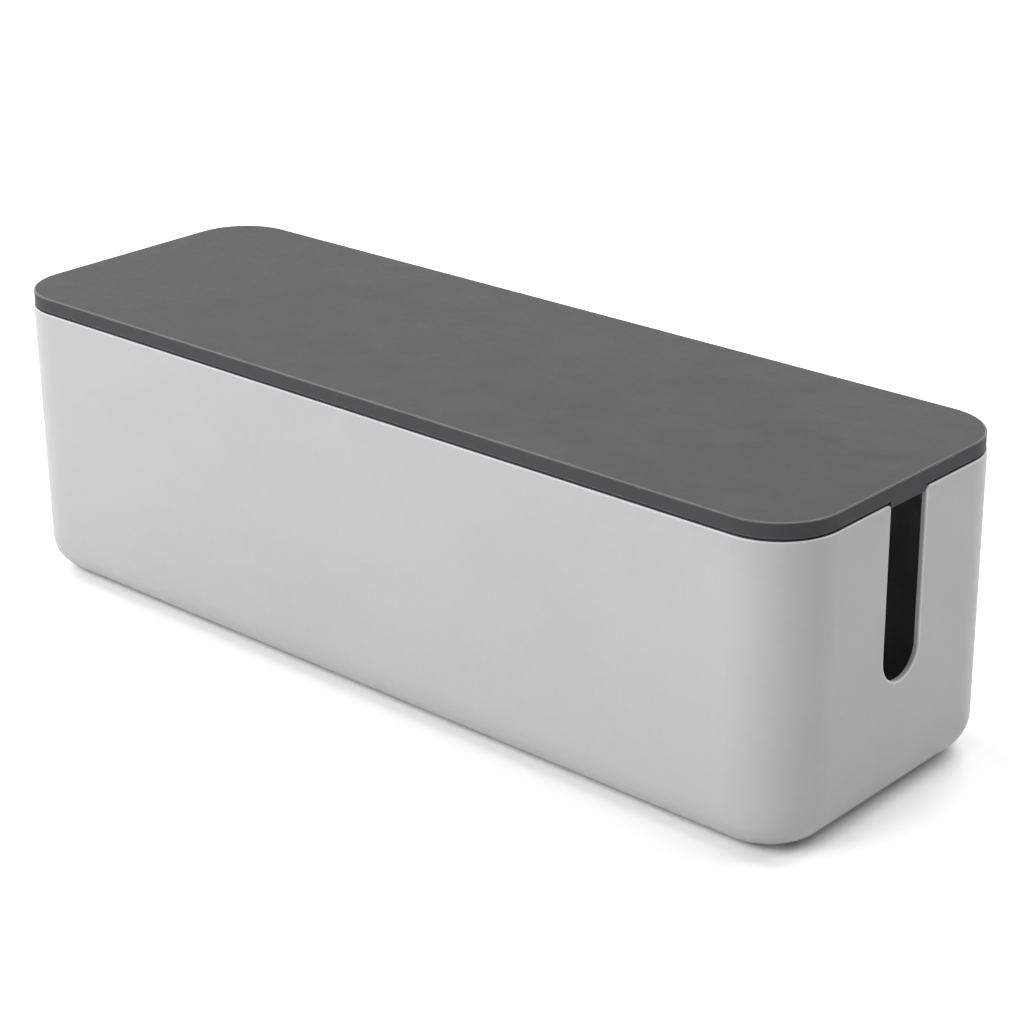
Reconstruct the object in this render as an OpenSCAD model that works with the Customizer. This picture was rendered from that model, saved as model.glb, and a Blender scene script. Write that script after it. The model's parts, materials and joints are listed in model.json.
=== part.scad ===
// Cable management box: an open tub with a slot for cables in each end wall, a lid that lifts
// off and hangs inside the rim by a rib, and four rubber feet stuck in shallow seats underneath.
// Millimetres. X runs along the length, Z points up, and the feet stand on Z = 0.

/* [Tub] */
// Length of the tub, end to end
box_l = 400; // [240:1:520]
// Width of the tub, front to back
box_w = 132; // [100:1:220]
// Height of the tub, from its underside to its rim
tub_h = 117; // [95:1:200]
// Radius of the four upright corners, measured outside
corner_r = 25; // [22:0.5:40]
// Radius round the bottom edge, measured outside
base_r = 14; // [6:0.5:16]
// Thickness of the side walls
wall_t = 2; // [1.6:0.1:3]
// Thickness of the floor
floor_t = 2.2; // [2:0.1:4]
// Radius on the outer edge of the rim and round the cable slots
edge_r = 0.5; // [0.3:0.05:1]
// Chamfer on the inner edge of the rim, which leads the lid in
lead_in = 0.3; // [0.1:0.05:0.4]

/* [Cable slots] */
// Width of each cable slot
slot_w = 21.5; // [12:0.5:40]
// Depth of each cable slot, from the rim down to its lowest point
slot_depth = 69; // [40:0.5:85]
// Radius where the sides of a slot run out into the rim
slot_mouth_r = 1.8; // [1.2:0.1:4]

/* [Lid] */
// Height of the band round the lid's side
lid_band_h = 5.8; // [4.5:0.1:10]
// Thickness of the lid's top plate
lid_plate_t = 2.5; // [2:0.1:4]
// Radius on the lid's upper edge
lid_edge_r = 0.5; // [0.3:0.05:1.5]
// Radius on the lower edge of the lid's band
band_low_r = 0.25; // [0.1:0.05:0.5]
// How far the lid's side stands in from the tub's side
lid_inset = 0.5; // [0:0.05:0.8]
// Height of the shadow gap between the lid's band and the rim
shadow_gap = 0.8; // [0.2:0.05:1.2]
// Width of the lid's seat, which lies on the inner part of the rim's flat top
seat_w = 0.4; // [0.3:0.05:0.6]
// Thickness of the rib that drops inside the rim and keeps the lid in place
rib_t = 1.8; // [1.2:0.1:3]
// Depth that the rib reaches below the rim
rib_depth = 5.5; // [3:0.5:12]
// Clearance between the rib and the inside of the walls
rib_clear = 0.4; // [0.3:0.05:1]
// How far the rib stops short of each side of a slot, to leave room for cables
rib_stop = 3; // [1:0.5:8]
// Depth that the lid's tab reaches down into each slot
tab_depth = 1.7; // [0.8:0.1:2.5]
// Clearance between the sides of a tab and the slot
tab_clear = 0.35; // [0.3:0.05:0.8]
// Radius on the lower corners of a tab
tab_corner_r = 0.8; // [0.3:0.1:1.2]

/* [Feet] */
// Diameter of each rubber foot
foot_d = 14; // [8:0.5:18]
// Thickness of each rubber foot
foot_t = 1.6; // [1.4:0.1:4]
// Radius on the lower edge of a foot
foot_edge_r = 0.5; // [0.2:0.05:0.8]
// Depth of the round seat that locates a foot under the floor
seat_depth = 0.8; // [0.4:0.05:1]
// Clearance all round a foot in its seat
seat_clear = 0.3; // [0.2:0.05:0.6]
// How far the edge of an adhesive disc stands in from the edge of its foot
adhesive_in = 1; // [0.5:0.25:2.5]
// Thickness of an adhesive disc
adhesive_t = 0.2; // [0.1:0.05:0.3]

/* [Hidden] */
$fn = 96;

TUB_COLOUR = [0.80, 0.80, 0.81];
LID_COLOUR = [0.30, 0.30, 0.32];
FOOT_COLOUR = [0.12, 0.12, 0.12];
ADHESIVE_COLOUR = [0.85, 0.83, 0.76];

// length of a cutting tool past the surface that it cuts
over = 2;

// Heights of the main levels
tub_z = foot_t + adhesive_t - seat_depth;    // underside of the tub
floor_z = tub_z + floor_t;                   // upper face of the floor
rim_z = tub_z + tub_h;                       // flat top of the rim
band_z = rim_z + shadow_gap;                 // lower edge of the lid's band
lid_top_z = band_z + lid_band_h;             // upper face of the lid
plate_z = lid_top_z - lid_plate_t;           // underside of the lid's plate
slot_end_z = rim_z - slot_depth + slot_w / 2;  // centre of the round end of a slot
tab_z = rim_z - tab_depth;                   // lower end of a tab
tab_top_z = band_z + band_low_r;             // where a tab runs smoothly into the band
notch_z = rim_z - tab_depth / 2;             // upper end of the notches in the rib

// How far each ring of the lid stands in from the tub's outer face
seat_in = wall_t - lead_in - seat_w;
rib_in = wall_t + rib_clear;
rib_inner_in = rib_in + rib_t;

// Half the straight run between two corners, along the length and along the width
half_l = box_l / 2 - corner_r;
half_w = box_w / 2 - corner_r;

// Half the width of a slot's mouth, out to where its corners meet the flat of the rim
mouth_half = slot_w / 2 + slot_mouth_r;
mouth_z = rim_z - slot_mouth_r;              // where a slot's sides start to open out

// Quarter of a disc of radius r, in the quadrant of +X and +Y.
module quarter_disc(r) {
    intersection() {
        circle(r);
        square(r);
    }
}

// Half section through the side of a block: X runs outwards from 0 to reach, Y is the height.
// The lower outer edge is rounded by low_r and the upper one by top_r. Either may be 0.
module side_section(reach, low, top, low_r, top_r) {
    translate([0, low + low_r])
        square([reach, top - top_r - low - low_r]);
    if (low_r > 0) {
        translate([0, low])
            square([reach - low_r, low_r]);
        translate([reach - low_r, low + low_r])
            mirror([0, 1])
                quarter_disc(low_r);
    }
    if (top_r > 0) {
        translate([0, top - top_r])
            square([reach - top_r, top_r]);
        translate([reach - top_r, top - top_r])
            quarter_disc(top_r);
    }
}

// Takes a piece made at the corner +X +Y to any corner: left and front are 0 or 1.
module at_corner(left, front) {
    mirror([left, 0, 0])
        mirror([0, front, 0])
            children();
}

// Sweeps a half section round the tub's plan. The section's X starts on the line through the
// centres of the corners, so the four sides and four quarter turns meet on flat planes.
module round_plan() {
    for (end = [0, 1])
        mirror([end, 0, 0])
            translate([half_l, half_w, 0])
                rotate([90, 0, 0])
                    linear_extrude(2 * half_w)
                        children();
    for (side = [0, 1])
        mirror([0, side, 0])
            translate([-half_l, half_w, 0])
                rotate([90, 0, 90])
                    linear_extrude(2 * half_l)
                        children();
    for (left = [0, 1], front = [0, 1])
        at_corner(left, front)
            translate([half_l, half_w, 0])
                rotate_extrude(angle = 90)
                    children();
}

// Flat block between the centres of the four corners, which closes the middle of a swept solid.
module plan_core(low, top) {
    translate([-half_l, -half_w, low])
        cube([2 * half_l, 2 * half_w, top - low]);
}

// Solid block of the tub's plan, drawn in by inset all round, between the heights low and top.
module plan_block(inset, low, top, low_r = 0, top_r = 0) {
    plan_core(low, top);
    round_plan()
        side_section(corner_r - inset, low, top, low_r, top_r);
}

// Stands a flat outline up in the end wall: its X runs along Y and its Y runs up Z.
// The solid reaches from x outwards by depth.
module in_end_wall(x, depth) {
    translate([x, 0, 0])
        rotate([90, 0, 90])
            linear_extrude(depth)
                children();
}

// Outline of a slot: a round end, straight sides, and a mouth whose corners are rounded outwards
// at the rim.
module slot_outline() {
    translate([0, slot_end_z])
        intersection() {
            circle(slot_w / 2);
            translate([-slot_w / 2, -slot_w / 2])
                square([slot_w, slot_w / 2]);
        }
    translate([-slot_w / 2, slot_end_z])
        square([slot_w, mouth_z - slot_end_z]);
    difference() {
        translate([-mouth_half, mouth_z])
            square([2 * mouth_half, slot_mouth_r + over]);
        for (side = [-1, 1])
            translate([side * mouth_half, mouth_z])
                circle(slot_mouth_r);
    }
}

// Section of the cut that rounds an edge. X runs out of the opening into the wall, whose own
// edge is at X = edge, and Y = 0 is the wall's outer face.
module edge_round_section(edge) {
    difference() {
        translate([edge - over, -edge_r])
            square([over + edge_r, edge_r + over]);
        translate([edge + edge_r, -edge_r])
            circle(edge_r);
    }
}

// Section of the cut that rounds the edge of a mouth's corner, about that corner's centre.
module mouth_round_section() {
    difference() {
        translate([slot_mouth_r - edge_r, -edge_r])
            square([edge_r + over, edge_r + over]);
        translate([slot_mouth_r - edge_r, -edge_r])
            circle(edge_r);
    }
}

// Cable slot through the end wall at +X.
module slot_cut() {
    in_end_wall(half_l, corner_r + over)
        slot_outline();
}

// Turns a revolved shape so that its axis lies along X and its turn starts at the angle from.
module about_x(from) {
    rotate([0, 90, 0])
        rotate([0, 0, from])
            children();
}

// Rounding of the slot's outer edge, down both sides, round its end and out into the rim.
module slot_edge_cut() {
    translate([box_l / 2, 0, slot_end_z])
        about_x(-90)
            rotate_extrude(angle = 180)
                edge_round_section(slot_w / 2);
    for (side = [0, 1])
        mirror([0, side, 0]) {
            translate([box_l / 2, 0, slot_end_z])
                rotate([0, 0, 90])
                    mirror([0, 1, 0])
                        linear_extrude(mouth_z - slot_end_z)
                            edge_round_section(slot_w / 2);
            translate([box_l / 2, mouth_half, mouth_z])
                about_x(180)
                    rotate_extrude(angle = 90)
                        mouth_round_section();
        }
}

// Chamfer round the inner edge of the rim.
module lead_in_cut() {
    reach = corner_r - wall_t;
    round_plan()
        polygon([
            [reach - over, rim_z - lead_in],
            [reach, rim_z - lead_in],
            [reach + lead_in, rim_z],
            [reach + lead_in, rim_z + over],
            [reach - over, rim_z + over]
        ]);
}

// Round seat for a foot, cut up into the underside of the floor.
module foot_seat() {
    translate([half_l, half_w, tub_z - over])
        cylinder(d = foot_d + 2 * seat_clear, h = over + seat_depth);
}

module tub() {
    color(TUB_COLOUR)
        difference() {
            plan_block(0, tub_z, rim_z, base_r, edge_r);
            plan_block(wall_t, floor_z, rim_z + over, base_r - wall_t);
            lead_in_cut();
            for (end = [0, 1])
                mirror([end, 0, 0]) {
                    slot_cut();
                    slot_edge_cut();
                }
            for (left = [0, 1], front = [0, 1])
                at_corner(left, front)
                    foot_seat();
        }
}

// Half section through the side of the lid, hollow below the plate: the band, the seat that lies
// on the rim, and the rib that hangs inside it. Seat and rib run up into the band.
module lid_side_section() {
    rib_z = rim_z - rib_depth;
    difference() {
        union() {
            side_section(corner_r - lid_inset, band_z, lid_top_z, band_low_r, lid_edge_r);
            translate([0, rim_z])
                square([corner_r - seat_in, tab_top_z - rim_z]);
            translate([0, rib_z])
                square([corner_r - rib_in, tab_top_z - rib_z]);
        }
        translate([-over, rib_z - over])
            square([corner_r - rib_inner_in + over, plate_z - rib_z + over]);
    }
}

// Notch in the rib behind the slot at +X, which leaves the way open for cables.
module rib_notch() {
    notch_half = slot_w / 2 + rib_stop;
    notch_low = rim_z - rib_depth - over;
    in_end_wall(box_l / 2 - rib_inner_in - over, rib_t + 2 * over)
        translate([-notch_half, notch_low])
            square([2 * notch_half, notch_z - notch_low]);
}

// Tab of the lid that drops into the slot at +X, flush with the lid's side. It starts in the
// middle of the rib and runs up into the band.
module lid_tab() {
    root = rib_in + rib_t / 2;
    in_end_wall(box_l / 2 - root, root - lid_inset)
        for (side = [0, 1])
            mirror([side, 0])
                side_section(slot_w / 2 - tab_clear, tab_z, tab_top_z, tab_corner_r, 0);
}

module lid() {
    color(LID_COLOUR) {
        difference() {
            union() {
                plan_core(plate_z, lid_top_z);
                round_plan()
                    lid_side_section();
            }
            for (end = [0, 1])
                mirror([end, 0, 0])
                    rib_notch();
        }
        for (end = [0, 1])
            mirror([end, 0, 0])
                lid_tab();
    }
}

// Rubber foot at +X and +Y, under the centre of the upright corner. Its lower edge is rounded.
module foot_disc() {
    color(FOOT_COLOUR)
        translate([half_l, half_w, 0])
            rotate_extrude()
                side_section(foot_d / 2, 0, foot_t, foot_edge_r, 0);
}

// Adhesive disc between a foot and the floor of its seat.
module adhesive_disc() {
    color(ADHESIVE_COLOUR)
        translate([half_l, half_w, foot_t])
            cylinder(r = foot_d / 2 - adhesive_in, h = adhesive_t);
}

module foot_front_left() { at_corner(1, 1) foot_disc(); }
module foot_front_right() { at_corner(0, 1) foot_disc(); }
module foot_rear_left() { at_corner(1, 0) foot_disc(); }
module foot_rear_right() { at_corner(0, 0) foot_disc(); }

module adhesive_front_left() { at_corner(1, 1) adhesive_disc(); }
module adhesive_front_right() { at_corner(0, 1) adhesive_disc(); }
module adhesive_rear_left() { at_corner(1, 0) adhesive_disc(); }
module adhesive_rear_right() { at_corner(0, 0) adhesive_disc(); }

tub();
lid();
foot_front_left();
foot_front_right();
foot_rear_left();
foot_rear_right();
adhesive_front_left();
adhesive_front_right();
adhesive_rear_left();
adhesive_rear_right();
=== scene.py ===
# %% [markdown]
# # A cable management box, dressed from its CAD solids
# The real object is a long moulded tub with a U-shaped cable slot in each end wall, and a dark
# lid that lies on its rim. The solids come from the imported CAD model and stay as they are. This
# lesson gives them their plastics and rubber, adds the small marks that a mould leaves inside,
# and sets up a plain white studio. The model is loaded first, because all that follows is
# placed and measured from it.

# %% Load the solids
import json
import math

import bpy
from mathutils import Matrix, Vector


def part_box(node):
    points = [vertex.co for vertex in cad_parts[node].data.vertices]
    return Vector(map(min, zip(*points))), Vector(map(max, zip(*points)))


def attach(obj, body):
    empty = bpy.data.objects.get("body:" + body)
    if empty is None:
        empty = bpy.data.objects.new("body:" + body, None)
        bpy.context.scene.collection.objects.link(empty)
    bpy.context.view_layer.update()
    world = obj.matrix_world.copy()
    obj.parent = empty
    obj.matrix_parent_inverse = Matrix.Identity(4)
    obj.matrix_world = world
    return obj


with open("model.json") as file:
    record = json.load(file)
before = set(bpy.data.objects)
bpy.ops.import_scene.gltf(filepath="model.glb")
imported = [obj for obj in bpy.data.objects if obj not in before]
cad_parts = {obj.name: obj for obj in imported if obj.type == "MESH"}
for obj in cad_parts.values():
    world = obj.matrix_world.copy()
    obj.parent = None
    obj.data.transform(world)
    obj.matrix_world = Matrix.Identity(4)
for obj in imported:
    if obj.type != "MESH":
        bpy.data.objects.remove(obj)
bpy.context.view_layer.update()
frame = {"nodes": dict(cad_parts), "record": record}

nodes = frame["nodes"]
print("solids:", ", ".join(sorted(nodes)))

# %% [markdown]
# ## Sizes that the finishes need
# A mould polishes some places and hands rub others, so the materials have to know where the rim,
# the upper edge of the lid and the upright corners are. These places could be painted by hand,
# but then they would be wrong as soon as the solid changed. Reading them from the solids' own
# boxes keeps them right. Only radii, thicknesses and the slot's outline can't be read from a box.

# %% Measure the tub and the lid
MM = 0.001
tub_low, tub_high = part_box("tub")
lid_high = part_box("lid")[1]
CORNER_RADIUS = 25 * MM
FLOOR_THICKNESS = 2.2 * MM
LID_PLATE = 2.5 * MM
LID_BAND = 5.8 * MM
SLOT_WIDTH = 21.5 * MM
SLOT_DEPTH = 69 * MM
half_length, half_width, rim_height = tub_high
lid_top = lid_high.z
print("rim at", round(rim_height / MM, 2), "mm, lid top at", round(lid_top / MM, 2), "mm")

# %% [markdown]
# ## Small tools for node trees
# Materials and Geometry Nodes are both trees of nodes. They could be built with long runs of
# calls to nodes.new and links.new, which hide the idea under their length. Short helpers keep
# each tree readable: one adds a node and fills its sockets, and the others stand for the few
# sums, noises and blends that every finish needs.

# %% Helpers: nodes and sums
def fill(tree, socket, value):
    """Sets a socket to a value, or links another node's output to it."""
    if isinstance(value, bpy.types.NodeSocket):
        tree.links.new(value, socket)
    else:
        socket.default_value = value


def add_node(tree, kind, settings=None, **sockets):
    """Adds a node. settings are its properties, sockets are values or links by socket name."""
    node = tree.nodes.new(kind)
    for name, value in (settings or {}).items():
        setattr(node, name, value)
    for name, value in sockets.items():
        fill(tree, node.inputs[name.replace("_", " ")], value)
    return node


def maths(tree, operation, *values):
    """One Math node; returns its output."""
    node = add_node(tree, "ShaderNodeMath", {"operation": operation})
    for socket, value in zip(node.inputs, values):
        fill(tree, socket, value)
    return node.outputs[0]


def times(tree, first, second):
    """The product of two values."""
    return maths(tree, "MULTIPLY", first, second)


def add_up(tree, start, *shares):
    """A start value, and each further value times its weight."""
    total = start
    for value, weight in shares:
        total = maths(tree, "ADD", total, times(tree, value, weight))
    return total


def diagonal(tree, first, second):
    """How far apart two points are that lie these two distances off each other, at right angles."""
    squares = maths(tree, "ADD", times(tree, first, first), times(tree, second, second))
    return maths(tree, "SQRT", squares)


def spread(tree, value, low, high, to_low=0.0, to_high=1.0):
    """Maps a value from one range to another with soft ends, and clamps it."""
    node = add_node(tree, "ShaderNodeMapRange", {"interpolation_type": "SMOOTHSTEP"}, Value=value,
                    From_Min=low, From_Max=high, To_Min=to_low, To_Max=to_high)
    return node.outputs[0]


print("helpers for sums ready")


# %% Helpers: places, noise and colours
def axes_of(tree, vector):
    """The X, Y and Z of a vector."""
    return add_node(tree, "ShaderNodeSeparateXYZ", None, Vector=vector).outputs


def facing(tree):
    """The X, Y and Z of the direction that the surface faces."""
    return axes_of(tree, add_node(tree, "ShaderNodeNewGeometry").outputs["Normal"])


def noise(tree, place, waves, **sockets):
    """Cloudy noise from 0 to 1, with so many waves in a metre."""
    return add_node(tree, "ShaderNodeTexNoise", None, Vector=place, Scale=waves,
                    **sockets).outputs["Fac"]


def blend_colours(tree, share, first, second):
    """Mixes two colours by a share from 0 to 1."""
    node = add_node(tree, "ShaderNodeMix", {"data_type": "RGBA"})
    for number, value in ((0, share), (6, first), (7, second)):
        fill(tree, node.inputs[number], value)
    return node.outputs[2]


def lay_over(tree, colour, mask, share, over):
    """Lays a second colour over the first where the mask is, up to a share."""
    return blend_colours(tree, times(tree, mask, share), colour, over)


print("helpers for places and colours ready")


# %% Helpers: groups
FLOAT, VECTOR = "NodeSocketFloat", "NodeSocketVector"


def start_group(name, inputs, outputs, kind="ShaderNodeTree"):
    """A node group with inputs (name, socket type, default) and outputs (name, socket type).

    Returns the tree, what the group is given, and the sockets where its results go."""
    tree = bpy.data.node_groups.new(name, kind)
    for label, socket_type, default in inputs:
        socket = tree.interface.new_socket(name=label, in_out="INPUT", socket_type=socket_type)
        if default is not None:
            socket.default_value = default
    for label, socket_type in outputs:
        tree.interface.new_socket(name=label, in_out="OUTPUT", socket_type=socket_type)
    given = tree.nodes.new("NodeGroupInput").outputs
    result = tree.nodes.new("NodeGroupOutput").inputs
    return tree, given, result


def place_group(tree, group, **sockets):
    """Places a finished group in a material, fills its inputs and returns its outputs."""
    return add_node(tree, "ShaderNodeGroup", {"node_tree": group}, **sockets).outputs


print("helpers for groups ready")

# %% [markdown]
# ## Spark-eroded grain
# Moulds for plastic goods are textured by spark erosion, which leaves a fine, even grain of
# rounded pits about a third of a millimetre across, and it gives satin plastic its soft sheen.
# It could be real displacement, but at this size that would take millions of faces. A bump from
# two scales of noise gives the same shading. Tub, lid and feet all have such a grain, so it is
# one group, with its pit size as an input.

# %% Group: moulded grain
FINE_TO_COARSE = 2.3   # so many times more fine waves than pits in a metre


def make_moulded_grain():
    tree, given, result = start_group(
        "Moulded grain",
        [("Place", VECTOR, None), ("Pit size", FLOAT, 0.4 * MM), ("Fine share", FLOAT, 0.4)],
        [("Height", FLOAT), ("Pits", FLOAT)])
    per_metre = maths(tree, "DIVIDE", 1.0, given["Pit size"])
    coarse = add_node(tree, "ShaderNodeTexVoronoi", {"feature": "SMOOTH_F1"},
                      Vector=given["Place"], Scale=per_metre, Smoothness=0.7).outputs["Distance"]
    fine = noise(tree, given["Place"], times(tree, per_metre, FINE_TO_COARSE),
                 Detail=2.0, Roughness=0.6)
    coarse_share = maths(tree, "SUBTRACT", 1.0, given["Fine share"])
    height = add_up(tree, times(tree, coarse, coarse_share), (fine, given["Fine share"]))
    fill(tree, result["Height"], height)
    fill(tree, result["Pits"], spread(tree, coarse, 0.15, 0.75))
    return tree


MOULDED_GRAIN = make_moulded_grain()
print("group:", MOULDED_GRAIN.name)

# %% [markdown]
# ## Melt tone
# Plastic never sets in quite one colour: pigment drifts with the flow of the melt, in soft
# clouds a few centimetres wide, and shrinkage over thick places leaves faint lighter patches.
# A vertex colour could hold that, but the solids' faces are too large. Two noises on Object
# coordinates, one of them stretched along the flow, give clouds that stay put on the piece.

# %% Group: melt tone
SPECKS_TO_CLOUD = 14.0   # so many specks across one cloud
CLOUD_SHARE, SPECK_SHARE = 0.7, 0.3


def make_melt_tone():
    tree, given, result = start_group(
        "Melt tone",
        [("Place", VECTOR, None), ("Cloud size", FLOAT, 40 * MM), ("Stretch", VECTOR, (0.5, 1, 1))],
        [("Tone", FLOAT), ("Sheen change", FLOAT)])
    stretched = add_node(tree, "ShaderNodeVectorMath", {"operation": "MULTIPLY"})
    fill(tree, stretched.inputs[0], given["Place"])
    fill(tree, stretched.inputs[1], given["Stretch"])
    per_metre = maths(tree, "DIVIDE", 1.0, given["Cloud size"])
    clouds = noise(tree, stretched.outputs[0], per_metre, Detail=3.0, Roughness=0.5,
                   Distortion=0.6)
    specks = noise(tree, given["Place"], times(tree, per_metre, SPECKS_TO_CLOUD),
                   Detail=2.0, Roughness=0.55)
    tone = add_up(tree, times(tree, clouds, CLOUD_SHARE), (specks, SPECK_SHARE))
    fill(tree, result["Tone"], spread(tree, tone, 0.3, 0.7))
    fill(tree, result["Sheen change"], spread(tree, specks, 0.35, 0.65))
    return tree


MELT_TONE = make_melt_tone()
print("group:", MELT_TONE.name)

# %% [markdown]
# ## Where an edge is rubbed, and painted with a highlight
# Hands and cables polish the rim of the tub, the upper edge of the lid and the mouth of the
# slots, and the grain there gets smoother. The materials also paint these places much lighter,
# as a painted highlight in a thin line. Blender's Pointiness would find edges, but it needs
# joined faces, and these solids are loose triangles. Both pieces have the same plan, a rectangle
# with round corners, so how far a point lies in from that outline is a short sum on its Object
# coordinates. The group turns this and a height into an edge mask, and also puts out the distance
# from the outline, which other masks use.

# %% Group: rubbed edge and painted highlight
PATCHES_PER_METRE = 90.0
PATCHY_REACH = (0.85, 1.2)   # the worn and highlit strip's width varies between these times its reach
FULLY_RUBBED_AND_HIGHLIT = 0.65          # the part of its width that is fully worn and painted lighter


# The edge mask places both the wear and the painted highlight on an edge.
def make_rubbed_edge_and_highlight():
    tree, given, result = start_group(
        "Rubbed edge and painted highlight",
        [("Place", VECTOR, None), ("Half length", FLOAT, 0.2), ("Half width", FLOAT, 0.066),
         ("Corner radius", FLOAT, 25 * MM), ("Edge height", FLOAT, 0.1), ("Reach", FLOAT, MM)],
        [("Edge", FLOAT), ("Inset", FLOAT)])
    axes = axes_of(tree, given["Place"])
    beyond = []
    for axis, half in (("X", "Half length"), ("Y", "Half width")):
        straight = maths(tree, "SUBTRACT", given[half], given["Corner radius"])
        along = maths(tree, "ABSOLUTE", axes[axis])
        beyond.append(maths(tree, "MAXIMUM", maths(tree, "SUBTRACT", along, straight), 0.0))
    inset = maths(tree, "SUBTRACT", given["Corner radius"], diagonal(tree, *beyond))
    drop = maths(tree, "ABSOLUTE", maths(tree, "SUBTRACT", axes["Z"], given["Edge height"]))
    patchy = noise(tree, given["Place"], PATCHES_PER_METRE, Detail=3.0, Roughness=0.6)
    reach = times(tree, given["Reach"], spread(tree, patchy, 0.3, 0.7, *PATCHY_REACH))
    mask = spread(tree, diagonal(tree, inset, drop), times(tree, reach, FULLY_RUBBED_AND_HIGHLIT), reach,
                  1.0, 0.0)
    fill(tree, result["Edge"], mask)
    fill(tree, result["Inset"], inset)
    return tree


RUBBED_EDGE_AND_HIGHLIGHT = make_rubbed_edge_and_highlight()
print("group:", RUBBED_EDGE_AND_HIGHLIGHT.name)

# %% [markdown]
# ## Handling marks
# A box that stands on a desk collects hair-fine scratches where it is slid and wiped, and dull
# fingertip smears where the lid is lifted. They are too faint to see from the front, but they
# break up the sheen when the light rakes across. Scratches are noise drawn out long and thin in
# two directions and cut to its highest crests. Smears are a low, cloudy noise.

# %% Group: handling marks
SCRATCH_RUNS = (   # turn in radians, waves per metre along and across the scratches
    ((0.0, 0.3, 0.5), (60.0, 1600.0, 1600.0)),
    ((0.2, -0.4, -0.9), (90.0, 2100.0, 2100.0)),
)
CREST = (0.70, 0.78)   # noise above these levels is a scratch


def make_handling_marks():
    tree, given, result = start_group(
        "Handling marks",
        [("Place", VECTOR, None), ("Scratch share", FLOAT, 0.25), ("Smear size", FLOAT, 20 * MM)],
        [("Scratches", FLOAT), ("Smears", FLOAT)])
    crests = []
    for turn, squeeze in SCRATCH_RUNS:
        mapped = add_node(tree, "ShaderNodeMapping", None, Vector=given["Place"],
                          Rotation=turn, Scale=squeeze)
        streaks = noise(tree, mapped.outputs[0], 1.0, Detail=1.0, Roughness=0.4)
        crests.append(spread(tree, streaks, *CREST))
    where = spread(tree, noise(tree, given["Place"], 35.0, Detail=2.0), 0.45, 0.65)
    scratches = times(tree, maths(tree, "MAXIMUM", *crests),
                      times(tree, where, given["Scratch share"]))
    smears = noise(tree, given["Place"], maths(tree, "DIVIDE", 1.0, given["Smear size"]),
                   Detail=4.0, Roughness=0.65, Distortion=1.2)
    fill(tree, result["Scratches"], scratches)
    fill(tree, result["Smears"], spread(tree, smears, 0.45, 0.75))
    return tree


HANDLING_MARKS = make_handling_marks()
print("group:", HANDLING_MARKS.name)

# %% [markdown]
# ## Dust
# Dust settles on what faces up, and stays longest where a cloth doesn't reach. On the real box
# it is only a faint pale veil with a few specks. The normal's upward part, times a speckled
# noise, puts it there on every piece, and lint-sized dots come from a cellular texture.

# %% Group: settled dust
FACES_UP = (0.25, 0.95)      # dust starts and is full at these upward parts of the normal
SPECK_RADIUS = (0.03, 0.055)   # inner and outer edge of a speck, as a share of its cell


def make_settled_dust():
    tree, given, result = start_group(
        "Settled dust",
        [("Place", VECTOR, None), ("Speck size", FLOAT, 6 * MM), ("Veil", FLOAT, 0.5)],
        [("Dust", FLOAT)])
    upward = spread(tree, facing(tree)["Z"], *FACES_UP)
    cells = add_node(tree, "ShaderNodeTexVoronoi", None, Vector=given["Place"],
                     Scale=maths(tree, "DIVIDE", 1.0, given["Speck size"])).outputs["Distance"]
    specks = spread(tree, cells, *SPECK_RADIUS, 1.0, 0.0)
    veil = noise(tree, given["Place"], 55.0, Detail=5.0, Roughness=0.7)
    cloud = times(tree, spread(tree, veil, 0.35, 0.7), given["Veil"])
    fill(tree, result["Dust"], times(tree, maths(tree, "MAXIMUM", specks, cloud), upward))
    return tree


SETTLED_DUST = make_settled_dust()
print("group:", SETTLED_DUST.name)

# %% [markdown]
# ## How each material starts and ends
# Every finish here is a Principled shader laid by Object coordinates, which stay put when a piece
# moves and survive the export. It could be set up anew each time, but only its colour, roughness
# and bump differ. So one helper opens an empty material and another closes it with the shader.
# Values that are the same all over a surface go straight onto the shader's sockets.

# %% Helpers: start and finish a material
def start_material(name):
    """An empty material. Returns it, its tree, its Surface socket and its Object coordinates."""
    material = bpy.data.materials.new(name)
    material.use_nodes = True
    tree = material.node_tree
    tree.nodes.clear()
    surface = tree.nodes.new("ShaderNodeOutputMaterial").inputs["Surface"]
    place = tree.nodes.new("ShaderNodeTexCoord").outputs["Object"]
    return material, tree, surface, place


def finish_material(tree, surface, height, strength, depth, **sockets):
    """Adds a bump of that depth in metres, and the Principled shader with its own sockets."""
    bump = add_node(tree, "ShaderNodeBump", None, Height=height, Strength=strength,
                    Distance=depth)
    shader = add_node(tree, "ShaderNodeBsdfPrincipled", None, Normal=bump.outputs[0], **sockets)
    fill(tree, surface, shader.outputs[0])


print("helpers for materials ready")

# %% [markdown]
# ## Silver-grey plastic of the tub
# The tub is light silver-grey plastic with a satin grain. A metallic shader would be too harsh:
# the real one is pigment in plastic, so it is a dielectric with a broad sheen. The tone clouds
# move the colour by about one part in fifty. The rim's outer edge and the edges of the slots are
# rubbed smoother by hands and cables, and their colour is painted much lighter there, as a
# painted highlight. The part of the rim that lies in the shadow gap under the lid is painted
# nearly black, as painted shade in the gap. The faces that look down are painted darker, as
# painted shade under the box, and the walls inside, which see no light, have kept a warmer tone.
# Two of these places need masks of their own, which come first.

# %% Masks: edges of the slots, and painted shade in the gap
SLOT_WEAR_AND_HIGHLIGHT = (0.5 * MM, 0.8 * MM)        # worn and painted lighter up to here, untouched from here
END_WALL = (4.0 * MM, 3.0 * MM)        # the slot's outer edge lies this near the tub's end
GAP_SHADE_INSET = (0.38 * MM, 0.54 * MM)   # painted shade starts and is full so far inside the outline
GAP_SHADE_DROP = (1.0 * MM, 0.4 * MM)      # and so far below the top of the rim


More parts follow.
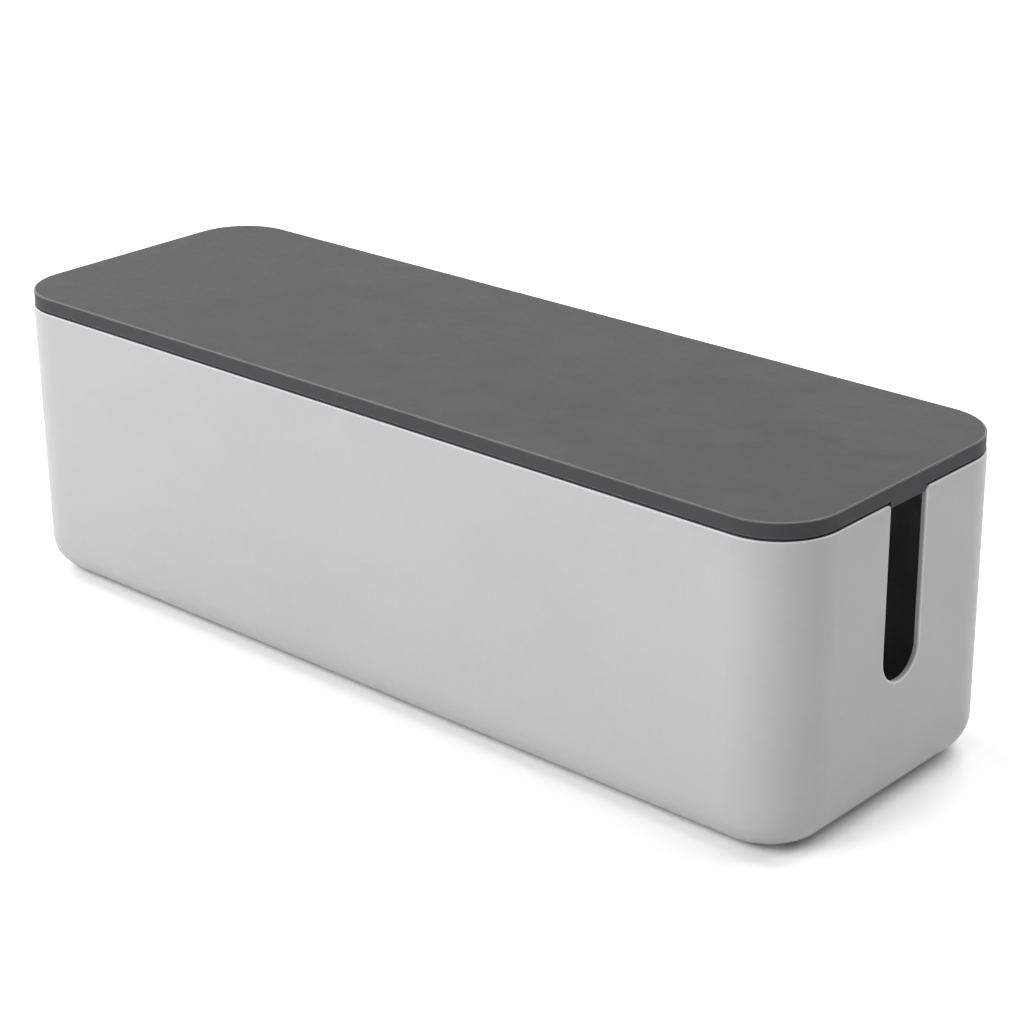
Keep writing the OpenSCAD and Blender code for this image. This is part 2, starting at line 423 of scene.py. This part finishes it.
def slot_edge_wear_and_highlight_mask(tree, place, inset):
    """1 on the outer edge of the cable slots, where they are worn and painted with a highlight,
    fading to 0 just beside it.
    """
    axes = axes_of(tree, place)
    round_end = rim_height - SLOT_DEPTH + SLOT_WIDTH / 2
    below = maths(tree, "MINIMUM", 0.0, maths(tree, "SUBTRACT", axes["Z"], round_end))
    from_middle = diagonal(tree, axes["Y"], below)
    apart = diagonal(tree, maths(tree, "SUBTRACT", from_middle, SLOT_WIDTH / 2), inset)
    at_end = spread(tree, maths(tree, "ABSOLUTE", axes["X"]),
                    *(half_length - depth for depth in END_WALL))
    return times(tree, spread(tree, apart, *SLOT_WEAR_AND_HIGHLIGHT, 1.0, 0.0), at_end)


def gap_painted_shade_mask(tree, place, faces, inset):
    """1 on the flat top of the rim, a little inside its outline, where shade in the gap under the
    lid is painted.
    """
    near_top = spread(tree, axes_of(tree, place)["Z"],
                      *(rim_height - drop for drop in GAP_SHADE_DROP))
    on_top = times(tree, spread(tree, faces["Z"], 0.80, 0.95), near_top)
    return times(tree, on_top, spread(tree, inset, *GAP_SHADE_INSET))


print("slot edge rubbed for", SLOT_WEAR_AND_HIGHLIGHT[1] / MM, "mm, grime from", GAP_SHADE_INSET[0] / MM, "mm inside")

# %% Material: silver-grey plastic
TUB_COLOUR = (0.652, 0.653, 0.665, 1)
TUB_COLOUR_DEEP = (0.620, 0.621, 0.632, 1)
# Rim and slot edges: a lighter colour for wear and a painted highlight.
TUB_COLOUR_RUBBED_HIGHLIGHT = (0.92, 0.92, 0.93, 1)
# Painted shade on the faces that look down.
TUB_COLOUR_UNDERSIDE_SHADE = (0.40, 0.395, 0.39, 1)
TUB_COLOUR_INSIDE = (0.660, 0.643, 0.614, 1)
# Painted shade in the gap between rim and lid, nearly black.
TUB_COLOUR_GAP_SHADE = (0.050, 0.049, 0.047, 1)
TUB_COLOUR_PITS = (0.505, 0.505, 0.515, 1)
TUB_COLOUR_DUST = (0.71, 0.70, 0.69, 1)
WALL_INSIDE = (1.6 * MM, 1.9 * MM)   # a point so far in from the outline is on the inner side


def make_tub_plastic():
    material, tree, surface, place = start_material("Silver-grey satin plastic")
    grain = place_group(tree, MOULDED_GRAIN, Place=place, Pit_size=0.42 * MM, Fine_share=0.45)
    tone = place_group(tree, MELT_TONE, Place=place, Cloud_size=45 * MM, Stretch=(0.45, 1, 1))
    rim = place_group(tree, RUBBED_EDGE_AND_HIGHLIGHT, Place=place, Half_length=half_length,
                      Half_width=half_width, Corner_radius=CORNER_RADIUS,
                      Edge_height=rim_height, Reach=0.62 * MM)
    marks = place_group(tree, HANDLING_MARKS, Place=place, Scratch_share=0.5, Smear_size=30 * MM)
    dust = place_group(tree, SETTLED_DUST, Place=place, Speck_size=12 * MM, Veil=0.5)
    faces = facing(tree)
    inside = times(tree, spread(tree, rim["Inset"], *WALL_INSIDE),
                   spread(tree, faces["Z"], -0.2, -0.05))
    # Rim and slot edges: worn smoother, and painted lighter as a painted highlight.
    worn_and_highlit = maths(tree, "MAXIMUM", times(tree, rim["Edge"], 0.75),
                 slot_edge_wear_and_highlight_mask(tree, place, rim["Inset"]))
    # Painted shade on the rim where it lies in the gap under the lid.
    painted_gap_shade = gap_painted_shade_mask(tree, place, faces, rim["Inset"])
    # Painted shade on the faces that look down, under the box.
    underside_painted_shade = spread(tree, faces["Z"], -0.92, -0.72, 1.0, 0.0)
    colour = blend_colours(tree, tone["Tone"], TUB_COLOUR_DEEP, TUB_COLOUR)
    for mask, share, over in ((inside, 1.0, TUB_COLOUR_INSIDE), (worn_and_highlit, 1.0, TUB_COLOUR_RUBBED_HIGHLIGHT),
                              (painted_gap_shade, 0.94, TUB_COLOUR_GAP_SHADE),
                              (underside_painted_shade, 0.9, TUB_COLOUR_UNDERSIDE_SHADE),
                              (grain["Pits"], 0.05, TUB_COLOUR_PITS),
                              (dust["Dust"], 0.12, TUB_COLOUR_DUST)):
        colour = lay_over(tree, colour, mask, share, over)
    rough = add_up(tree, 0.46, (tone["Sheen change"], 0.04), (marks["Smears"], 0.04),
                   (inside, 0.08), (worn_and_highlit, -0.14), (marks["Scratches"], -0.12))
    height = add_up(tree, grain["Height"], (marks["Scratches"], -0.4))
    finish_material(tree, surface, height, 0.22, 0.05 * MM, Base_Color=colour, Roughness=rough,
                    IOR=1.5, Specular_IOR_Level=0.5)
    return material


TUB_PLASTIC = make_tub_plastic()
print("material:", TUB_PLASTIC.name)

# %% [markdown]
# ## Dark grey plastic of the lid
# The lid is the same kind of plastic in dark grey, with a deeper and duller grain, so that its
# top shows no reflection, only a soft light tone and a fine mottle. Its upper edge is where
# fingers lift it: the grain is worn smoother there, and its colour is painted much lighter in a
# thin line, a painted highlight. The band's lower edge, which knocks against the rim, is worn and
# painted lighter the same way but less. Above the slots the band runs on down into its tab and
# has no lower edge, so the wear and the painted highlight are masked out there.

# %% Material: dark grey plastic
LID_COLOUR = (0.0795, 0.0806, 0.0905, 1)
LID_COLOUR_DEEP = (0.0735, 0.0745, 0.0840, 1)
# Worn lid edges: a lighter colour for wear and a painted highlight.
LID_COLOUR_RUBBED_HIGHLIGHT = (0.205, 0.206, 0.219, 1)
LID_COLOUR_PITS = (0.055, 0.056, 0.062, 1)
LID_COLOUR_DUST = (0.40, 0.395, 0.395, 1)
LID_EDGES = ((lid_top, 0.62 * MM), (lid_top - LID_BAND, 0.50 * MM))   # height, reach of the wear and painted highlight
LOWER_EDGE_WEAR_AND_HIGHLIGHT = 0.6        # as a share of the upper edge's
TAB_FADE = 1.5 * MM          # the lower edge's wear and painted highlight come back so far beside the tab
END_FADE = (6 * MM, 4 * MM)  # only this near the end can there be a tab


# Mask for wear and a painted highlight on the lid's edges.
def lid_wear_and_highlight_mask(tree, place):
    """1 on the lid's upper edge, and less on the band's lower edge, but not at the tabs."""
    upper, lower = (place_group(tree, RUBBED_EDGE_AND_HIGHLIGHT, Place=place, Half_length=lid_high.x,
                                Half_width=lid_high.y, Corner_radius=CORNER_RADIUS,
                                Edge_height=height, Reach=reach)["Edge"]
                    for height, reach in LID_EDGES)
    axes = axes_of(tree, place)
    beside_tab = spread(tree, maths(tree, "ABSOLUTE", axes["Y"]), SLOT_WIDTH / 2,
                        SLOT_WIDTH / 2 + TAB_FADE)
    off_the_end = spread(tree, maths(tree, "ABSOLUTE", axes["X"]),
                         *(half_length - depth for depth in END_FADE), 1.0, 0.0)
    lower = times(tree, lower, maths(tree, "MAXIMUM", beside_tab, off_the_end))
    return maths(tree, "MAXIMUM", upper, times(tree, lower, LOWER_EDGE_WEAR_AND_HIGHLIGHT))


def make_lid_plastic():
    material, tree, surface, place = start_material("Dark grey matt plastic")
    grain = place_group(tree, MOULDED_GRAIN, Place=place, Pit_size=0.50 * MM, Fine_share=0.35)
    tone = place_group(tree, MELT_TONE, Place=place, Cloud_size=28 * MM, Stretch=(0.6, 1, 1))
    marks = place_group(tree, HANDLING_MARKS, Place=place, Scratch_share=0.7, Smear_size=22 * MM)
    dust = place_group(tree, SETTLED_DUST, Place=place, Speck_size=10 * MM, Veil=0.35)
    # Edges of the lid: worn smoother, and painted lighter as a painted highlight.
    worn_and_highlit = lid_wear_and_highlight_mask(tree, place)
    colour = blend_colours(tree, tone["Tone"], LID_COLOUR_DEEP, LID_COLOUR)
    for mask, share, over in ((grain["Pits"], 0.12, LID_COLOUR_PITS),
                              (worn_and_highlit, 0.8, LID_COLOUR_RUBBED_HIGHLIGHT),
                              (dust["Dust"], 0.07, LID_COLOUR_DUST)):
        colour = lay_over(tree, colour, mask, share, over)
    rough = add_up(tree, 0.60, (tone["Sheen change"], 0.05), (worn_and_highlit, -0.20),
                   (marks["Smears"], -0.05), (marks["Scratches"], -0.12))
    height = add_up(tree, grain["Height"], (marks["Scratches"], -0.5))
    finish_material(tree, surface, height, 0.3, 0.06 * MM, Base_Color=colour, Roughness=rough,
                    IOR=1.48, Specular_IOR_Level=0.16)
    return material


LID_PLASTIC = make_lid_plastic()
print("material:", LID_PLASTIC.name)

# %% [markdown]
# ## Rubber of the feet
# The feet are small discs of black rubber. Rubber has almost no sheen, and its tread picks up
# grey dust from the desk, most of all low down and round the edge. The dust follows the height
# above the desk, so no mask has to be painted for each foot.

# %% Material: black rubber
RUBBER_COLOUR = (0.018, 0.018, 0.019, 1)
RUBBER_COLOUR_LINT = (0.16, 0.155, 0.145, 1)
LINT_HEIGHT = 0.8 * MM   # lint thins out up to this height above the desk


def make_foot_rubber():
    material, tree, surface, place = start_material("Black foot rubber")
    grain = place_group(tree, MOULDED_GRAIN, Place=place, Pit_size=0.3 * MM, Fine_share=0.6)
    tone = place_group(tree, MELT_TONE, Place=place, Cloud_size=6 * MM, Stretch=(1, 1, 1))
    low_down = spread(tree, axes_of(tree, place)["Z"], 0.0, LINT_HEIGHT, 1.0, 0.25)
    lint = times(tree, low_down, tone["Tone"])
    finish_material(tree, surface, grain["Height"], 0.4, 0.06 * MM,
                    Base_Color=lay_over(tree, RUBBER_COLOUR, lint, 0.35, RUBBER_COLOUR_LINT),
                    Roughness=add_up(tree, 0.72, (lint, 0.18)))
    return material


FOOT_RUBBER = make_foot_rubber()
print("material:", FOOT_RUBBER.name)

# %% [markdown]
# ## Adhesive behind the feet
# A thin disc of acrylic adhesive holds each foot in its seat. It is a clear, slightly yellow film
# with tiny trapped air bubbles, seen only as a thin line at its edge, so it is an opaque
# satin surface with bubbles in its colour and bump, which costs less than true transparency.

# %% Material: adhesive film
FILM_COLOUR = (0.60, 0.56, 0.44, 1)
FILM_COLOUR_DEEP = (0.50, 0.46, 0.34, 1)
FILM_COLOUR_BUBBLE = (0.75, 0.74, 0.70, 1)
BUBBLES_PER_METRE = 1400.0


def make_adhesive_film():
    material, tree, surface, place = start_material("Yellowish adhesive film")
    tone = place_group(tree, MELT_TONE, Place=place, Cloud_size=4 * MM, Stretch=(1, 1, 1))
    cells = add_node(tree, "ShaderNodeTexVoronoi", None, Vector=place, Scale=BUBBLES_PER_METRE)
    bubble = spread(tree, cells.outputs["Distance"], 0.12, 0.22, 1.0, 0.0)
    colour = blend_colours(tree, tone["Tone"], FILM_COLOUR_DEEP, FILM_COLOUR)
    finish_material(tree, surface, bubble, 0.3, 0.03 * MM,
                    Base_Color=lay_over(tree, colour, bubble, 0.5, FILM_COLOUR_BUBBLE),
                    Roughness=add_up(tree, 0.30, (tone["Sheen change"], 0.15)))
    return material


ADHESIVE_FILM = make_adhesive_film()
print("material:", ADHESIVE_FILM.name)

# %% [markdown]
# ## Dress the solids
# Each solid has one material slot from the CAD model. Its shape is right, so nothing is rebuilt:
# the finish goes into that slot. The record says which slot name each solid belongs to, so one
# short table covers all ten of them, also if feet are added later.

# %% Put the finishes on the solids
FINISHES = {"tub_plastic": TUB_PLASTIC, "lid_plastic": LID_PLASTIC,
            "foot_rubber": FOOT_RUBBER, "adhesive": ADHESIVE_FILM}
for part in frame["record"]["subparts"]:
    finish = FINISHES[part["material_slot"]]
    slots = nodes[part["node"]].data.materials
    slots.clear()
    slots.append(finish)
    print(part["node"], "->", finish.name)

# %% [markdown]
# ## Marks of the ejector pins
# Pins push the hot part out of its mould, and each leaves a shallow round print on the inside,
# in a regular pattern. They could be modelled one by one, but they repeat by a rule: so many
# along, so many across, so far apart. Geometry Nodes lays a grid of points and sets one small
# print on each. The print is a very low cone that reaches as far below the surface as above it,
# so that no gap shows. The tree ends in Realize Instances and Set Material, because instances
# don't survive the export.

# %% Geometry Nodes: pin marks in a grid
INTEGER, MATERIAL, GEOMETRY = "NodeSocketInt", "NodeSocketMaterial", "NodeSocketGeometry"
MARK_HEIGHT = 0.12 * MM
MARK_SIDES = 28
MARK_TAPER = 0.955   # radius at the top of the cone as a share of the radius at its bottom


def make_pin_marks():
    tree, given, result = start_group(
        "Pin marks",
        [("Marks along", INTEGER, 6), ("Marks across", INTEGER, 2), ("Run along", FLOAT, 0.3),
         ("Run across", FLOAT, 0.07), ("Level", FLOAT, 0.0), ("Mark radius", FLOAT, 4 * MM),
         ("Mark height", FLOAT, MARK_HEIGHT), ("Turned over", FLOAT, 0.0),
         ("Finish", MATERIAL, None)],
        [("Geometry", GEOMETRY)], "GeometryNodeTree")
    grid = add_node(tree, "GeometryNodeMeshGrid", None, Size_X=given["Run along"],
                    Size_Y=given["Run across"], Vertices_X=given["Marks along"],
                    Vertices_Y=given["Marks across"])
    raised = add_node(tree, "ShaderNodeCombineXYZ", None, Z=given["Level"])
    points = add_node(tree, "GeometryNodeSetPosition", None,
                      Geometry=grid.outputs["Mesh"], Offset=raised.outputs[0])
    wall = times(tree, given["Mark height"], 2.0)
    cone = add_node(tree, "GeometryNodeMeshCone", {"fill_type": "NGON"}, Vertices=MARK_SIDES,
                    Radius_Top=times(tree, given["Mark radius"], MARK_TAPER),
                    Radius_Bottom=given["Mark radius"], Depth=wall)
    centred = add_node(tree, "ShaderNodeCombineXYZ", None, Z=times(tree, wall, -0.5))
    pin_print = add_node(tree, "GeometryNodeTransform", None,
                         Geometry=cone.outputs["Mesh"], Translation=centred.outputs[0])
    angles = add_node(tree, "ShaderNodeCombineXYZ", None, X=given["Turned over"])
    turn = add_node(tree, "FunctionNodeEulerToRotation", None, Euler=angles.outputs[0])
    marks = add_node(tree, "GeometryNodeInstanceOnPoints", None, Points=points.outputs[0],
                     Instance=pin_print.outputs[0], Rotation=turn.outputs[0])
    real = add_node(tree, "GeometryNodeRealizeInstances", None, Geometry=marks.outputs[0])
    done = add_node(tree, "GeometryNodeSetMaterial", None, Geometry=real.outputs[0],
                    Material=given["Finish"])
    fill(tree, result["Geometry"], done.outputs[0])
    return tree


PIN_MARKS = make_pin_marks()
print("tree:", PIN_MARKS.name)

# %% [markdown]
# ## Set the pin marks on floor and lid
# The tub has two rows of six on the upper face of its floor, and the lid two rows of six under
# its plate, turned over. A modifier's inputs are set by the socket's identifier, since two inputs
# may share a name. The evaluated object is then turned into a plain mesh, so that the piece
# carries no live modifier when it starts to ride on its body.

# %% Make both sets of pin marks
def grow(name, tree, inputs, body, slot):
    """Runs a Geometry Nodes tree once and keeps its result as a plain mesh on a body."""
    seed = bpy.data.objects.new(name + "_seed", bpy.data.meshes.new(name + "_seed"))
    bpy.context.scene.collection.objects.link(seed)
    modifier = seed.modifiers.new("Grow", "NODES")
    modifier.node_group = tree
    sockets = {s.name: s.identifier for s in tree.interface.items_tree if s.in_out == "INPUT"}
    for label, value in {**inputs, "Finish": FINISHES[slot]}.items():
        modifier[sockets[label]] = value
    bpy.context.view_layer.update()
    evaluated = seed.evaluated_get(bpy.context.evaluated_depsgraph_get())
    mesh = bpy.data.meshes.new_from_object(evaluated)
    mesh.name = name
    piece = bpy.data.objects.new(name, mesh)
    bpy.context.scene.collection.objects.link(piece)
    seed.modifiers.clear()
    bpy.data.objects.remove(seed)
    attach(piece, body)
    heights = [v.co.z for v in mesh.vertices]
    print(name, len(mesh.polygons), "faces, z in mm from", round(min(heights) / MM, 3),
          "to", round(max(heights) / MM, 3))


ROWS = {"Marks along": 6, "Marks across": 2, "Mark height": MARK_HEIGHT}
grow("floor_pin_marks", PIN_MARKS,
     {**ROWS, "Run along": 300 * MM, "Run across": 70 * MM, "Mark radius": 4 * MM,
      "Level": tub_low.z + FLOOR_THICKNESS, "Turned over": 0.0}, "box", "tub_plastic")
grow("lid_pin_marks", PIN_MARKS,
     {**ROWS, "Run along": 320 * MM, "Run across": 80 * MM, "Mark radius": 3.5 * MM,
      "Level": lid_top - LID_PLATE, "Turned over": math.pi}, "lid", "lid_plastic")

# %% [markdown]
# ## Floor and white background
# The photograph has a white sweep: floor and background run into each other. A curved backdrop
# would hide the object from behind, so the floor is a wide flat disc and the world behind it is
# white. The floor's pale paint takes the light and the shadow. For the camera and for reflections
# the paint is brighter than for the light that it throws back, and far away from the object it
# adds a glow of its own, so that no horizon shows. From below, the floor is clear, so that the
# underside can be looked at. No lamp reaches the gap of one millimetre between underside and
# floor, so the floor also works as a dim light pad there, well inside the outline, where it
# can't be seen from above.

# %% Helpers: what is seen, and mixed shaders
WHITE = (1, 1, 1, 1)


def seen_directly(tree):
    """1 for what the camera sees, also by reflection or through glass, and 0 for other light."""
    ray = add_node(tree, "ShaderNodeLightPath").outputs
    return maths(tree, "MAXIMUM", ray["Is Camera Ray"],
                 maths(tree, "MAXIMUM", ray["Is Glossy Ray"], ray["Is Transmission Ray"]))


def mix_shaders(tree, share, first, second):
    """Mixes two shaders by a share from 0 to 1."""
    node = add_node(tree, "ShaderNodeMixShader")
    for socket, value in zip(node.inputs, (share, first, second)):
        fill(tree, socket, value)
    return node.outputs[0]


print("helpers for the studio ready")

# %% Stage: the floor's paint
FLOOR_COLOUR = (0.78, 0.78, 0.78, 1)
FLOOR_COLOUR_DEEP = (0.76, 0.76, 0.76, 1)
FLOOR_SEEN = (1.35, 1.35, 1.35, 1)
GLOW_DISTANCE = (0.7, 1.8)           # in metres from the object, where the glow starts and is full
LIGHT_PAD = 0.5                      # strength of the light under the box
PAD_MARGIN = (22 * MM, 12 * MM)      # so far inside the outline the pad is full and ends


def make_floor_paint():
    material, tree, surface, place = start_material("Pale studio floor")
    cloud = noise(tree, place, 6.0, Detail=3.0)
    seen = seen_directly(tree)
    colour = blend_colours(tree, cloud, FLOOR_COLOUR, FLOOR_COLOUR_DEEP)
    paint = add_node(tree, "ShaderNodeBsdfDiffuse", None,
                     Color=blend_colours(tree, seen, colour, FLOOR_SEEN))
    far = add_node(tree, "ShaderNodeVectorMath", {"operation": "LENGTH"})
    fill(tree, far.inputs[0], place)
    glow = times(tree, seen, spread(tree, far.outputs["Value"], *GLOW_DISTANCE))
    white = add_node(tree, "ShaderNodeEmission", None, Color=WHITE, Strength=1.0)
    axes = axes_of(tree, place)
    under = LIGHT_PAD
    for axis, half in (("X", half_length), ("Y", half_width)):
        under = times(tree, spread(tree, maths(tree, "ABSOLUTE", axes[axis]),
                                   *(half - margin for margin in PAD_MARGIN), 1.0, 0.0), under)
    pad = add_node(tree, "ShaderNodeEmission", None, Color=WHITE, Strength=under)
    upper_side = add_node(tree, "ShaderNodeAddShader")
    fill(tree, upper_side.inputs[0], mix_shaders(tree, glow, paint.outputs[0], white.outputs[0]))
    fill(tree, upper_side.inputs[1], pad.outputs[0])
    backfacing = add_node(tree, "ShaderNodeNewGeometry").outputs["Backfacing"]
    clear = add_node(tree, "ShaderNodeBsdfTransparent")
    fill(tree, surface, mix_shaders(tree, backfacing, upper_side.outputs[0], clear.outputs[0]))
    material.cycles.emission_sampling = "NONE"
    return material


FLOOR_PAINT = make_floor_paint()
print("material:", FLOOR_PAINT.name)

# %% Stage: the floor's disc
FLOOR_RADIUS, FLOOR_SIDES = 9.0, 96
steps = [2 * math.pi * step / FLOOR_SIDES for step in range(FLOOR_SIDES)]
floor_mesh = bpy.data.meshes.new("studio_floor")
floor_mesh.from_pydata([(FLOOR_RADIUS * math.cos(angle), FLOOR_RADIUS * math.sin(angle), 0.0)
                        for angle in steps], [], [list(range(FLOOR_SIDES))])
floor_mesh.materials.append(FLOOR_PAINT)
studio_floor = bpy.data.objects.new("studio_floor", floor_mesh)
bpy.context.scene.collection.objects.link(studio_floor)
print("floor radius in m:", FLOOR_RADIUS)

# %% [markdown]
# ## Light
# The photograph is lit from high above by a very large soft source, so that the lid's top and the
# front are bright and the end with the slot is a third darker. The height of the light shows in
# three thin places: the gap under the lid stays dark, the rim and the lid's edge catch a bright
# line, and the shadow hugs the base. A bright world alone would light all sides the same, and low
# lamps would shine into the gap. So the world gives only a low, even light, and soft boxes that
# hang high give each side its own level. For the camera and for reflections the world is plain
# white.

# %% World: white to the eye, dim as a lamp
WORLD_LIGHT = 0.01


def make_world():
    world = bpy.data.worlds.new("White studio")
    world.use_nodes = True
    tree = world.node_tree
    tree.nodes.clear()
    dim, white = (add_node(tree, "ShaderNodeBackground", None, Color=WHITE,
                           Strength=strength).outputs[0] for strength in (WORLD_LIGHT, 1.0))
    output = add_node(tree, "ShaderNodeOutputWorld")
    fill(tree, output.inputs["Surface"], mix_shaders(tree, seen_directly(tree), dim, white))
    bpy.context.scene.world = world


make_world()
print("world light:", WORLD_LIGHT)

# %% Soft boxes
AIM = Vector((0.0, 0.0, 0.06))
SOFT_BOXES = {   # name: (place in m, width, height, power in W)
    "front_soft_box": ((0.0, -1.8, 1.5), 1.6, 1.0, 14.7),
    "front_left_soft_box": ((-0.7, -1.7, 1.5), 1.4, 1.0, 14.0),
    "far_left_soft_box": ((-1.4, -1.3, 1.4), 1.1, 1.1, 3.7),
    "left_high_soft_box": ((-1.6, 0.0, 1.7), 1.1, 1.1, 22.5),
    "back_high_soft_box": ((0.0, 1.3, 1.8), 1.4, 0.9, 21.5),
    "back_right_high_soft_box": ((1.2, 1.2, 1.8), 1.1, 1.1, 14.0),
    "front_right_soft_box": ((1.6, -1.9, 1.2), 1.2, 1.2, 3.3),
}


def hang_soft_box(name, place, width, height, power):
    lamp = bpy.data.lights.new(name, "AREA")
    lamp.shape = "RECTANGLE"
    lamp.size, lamp.size_y, lamp.energy = width, height, power
    holder = bpy.data.objects.new(name, lamp)
    holder.location = place
    holder.rotation_euler = (AIM - Vector(place)).to_track_quat("-Z", "Y").to_euler()
    bpy.context.scene.collection.objects.link(holder)
    print(name, power, "W")


for name, (place, width, height, power) in SOFT_BOXES.items():
    hang_soft_box(name, place, width, height, power)

# %% [markdown]
# ## Camera
# The camera stands to the right of the front, a little above, with a long lens, as the nearly
# parallel long edges of the photograph show. Its place, turn and focal length come from fitting
# the outlines of lid, rim, base and slot to the photograph. The numbers are the place in metres,
# and in degrees the turn round the vertical, the tilt down and a slight roll.

# %% Camera fitted to the photograph
CAMERA_PLACE = Vector((0.6308, -0.6744, 0.4442))
CAMERA_YAW, CAMERA_PITCH, CAMERA_ROLL = 42.16, 22.74, -0.5942
FOCAL_PIXELS, IMAGE_PIXELS, SENSOR = 2549.0, 1024.0, 36.0


def aim_camera():
    """The camera's place and turn as one matrix."""
    yaw, pitch, roll = map(math.radians, (CAMERA_YAW, CAMERA_PITCH, CAMERA_ROLL))
    back = Vector((math.sin(yaw) * math.cos(pitch), -math.cos(yaw) * math.cos(pitch),
                   math.sin(pitch)))
    right = Vector((math.cos(yaw), math.sin(yaw), 0.0))
    up = back.cross(right)
    rolled_right = right * math.cos(roll) + up * math.sin(roll)
    rolled_up = up * math.cos(roll) - right * math.sin(roll)
    turn = Matrix((rolled_right, rolled_up, back)).transposed()
    return Matrix.Translation(CAMERA_PLACE) @ turn.to_4x4()


lens = bpy.data.cameras.new("studio_camera")
lens.sensor_width = SENSOR
lens.lens = FOCAL_PIXELS / IMAGE_PIXELS * SENSOR
lens.clip_start, lens.clip_end = 0.01, 50.0
camera = bpy.data.objects.new("studio_camera", lens)
camera.matrix_world = aim_camera()
bpy.context.scene.collection.objects.link(camera)
bpy.context.scene.camera = camera
bpy.context.scene.view_settings.view_transform = "Standard"
print("lens in mm:", round(lens.lens, 2))
